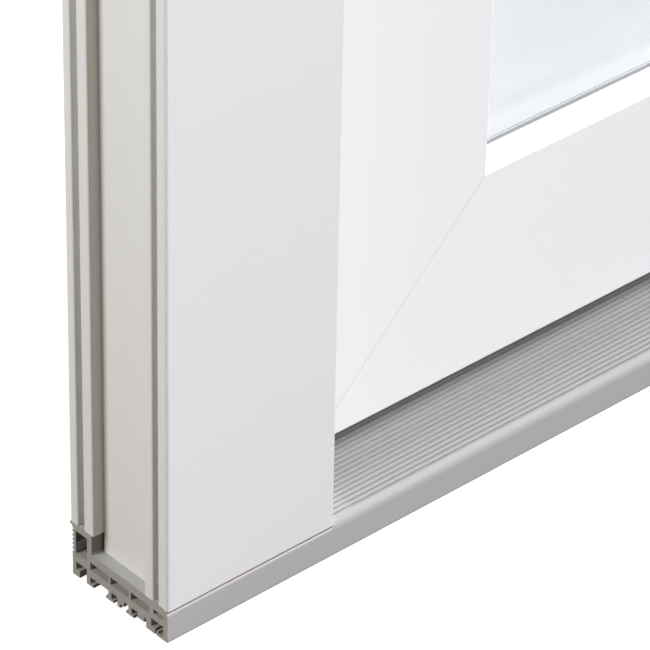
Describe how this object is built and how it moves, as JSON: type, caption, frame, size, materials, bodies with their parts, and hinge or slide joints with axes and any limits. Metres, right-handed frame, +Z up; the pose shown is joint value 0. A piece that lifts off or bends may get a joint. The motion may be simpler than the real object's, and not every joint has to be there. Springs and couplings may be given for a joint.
{
  "type": "double door",
  "caption": "White hollow-section double door with a low ribbed threshold, two glazed leaves that open into the room and a lever handle.",
  "frame": {"origin": "underside of the threshold, in the middle of the frame's width and depth", "axes": "+Z up, X along the wall, +Y from the outside into the room"},
  "size_m": [1.588, 0.168, 2.088],
  "materials": {
    "white_pvc": "smooth satin white",
    "threshold_grey": "matt light grey, extruded",
    "glass": "clear float glass",
    "spacer_white": "white warm-edge spacer bar",
    "gasket_grey": "matt",
    "seal_black": "matt",
    "pin_steel": "bright",
    "hinge_white": "powder coated white",
    "handle_metal": "powder coated white"
  },
  "bodies": {
    "frame": {"frame_seal": "seal_black", "head": "white_pvc", "left_frame_hinges": "hinge_white", "left_hinge_pins": "pin_steel", "left_jamb": "white_pvc", "right_frame_hinges": "hinge_white", "right_hinge_pins": "pin_steel", "right_jamb": "white_pvc", "threshold": "threshold_grey"},
    "left_leaf": {"left_bottom_bead": "white_pvc", "left_bottom_rail": "white_pvc", "left_hinge_bead": "white_pvc", "left_hinge_stile": "white_pvc", "left_inner_gasket": "gasket_grey", "left_inner_pane": "glass", "left_leaf_hinges": "hinge_white", "left_leaf_seal": "seal_black", "left_meeting_bead": "white_pvc", "left_meeting_stile": "white_pvc", "left_meeting_strip": "white_pvc", "left_outer_gasket": "gasket_grey", "left_outer_pane": "glass", "left_spacer": "spacer_white", "left_top_bead": "white_pvc", "left_top_rail": "white_pvc"},
    "right_leaf": {"handle_plate": "handle_metal", "lever_handle": "handle_metal", "right_bottom_bead": "white_pvc", "right_bottom_rail": "white_pvc", "right_hinge_bead": "white_pvc", "right_hinge_stile": "white_pvc", "right_inner_gasket": "gasket_grey", "right_inner_pane": "glass", "right_leaf_hinges": "hinge_white", "right_leaf_seal": "seal_black", "right_meeting_bead": "white_pvc", "right_meeting_stile": "white_pvc", "right_meeting_strip": "white_pvc", "right_outer_gasket": "gasket_grey", "right_outer_pane": "glass", "right_spacer": "spacer_white", "right_top_bead": "white_pvc", "right_top_rail": "white_pvc"}
  },
  "joints": [
    {"name": "left_leaf_hinge", "type": "hinge", "parent": "frame", "child": "left_leaf", "pos_m": [-0.715, 0.071, 1], "axis": [0, 0, 1], "range_deg": [0, 100]},
    {"name": "right_leaf_hinge", "type": "hinge", "parent": "frame", "child": "right_leaf", "pos_m": [0.715, 0.071, 1], "axis": [0, 0, -1], "range_deg": [0, 100]}
  ]
}
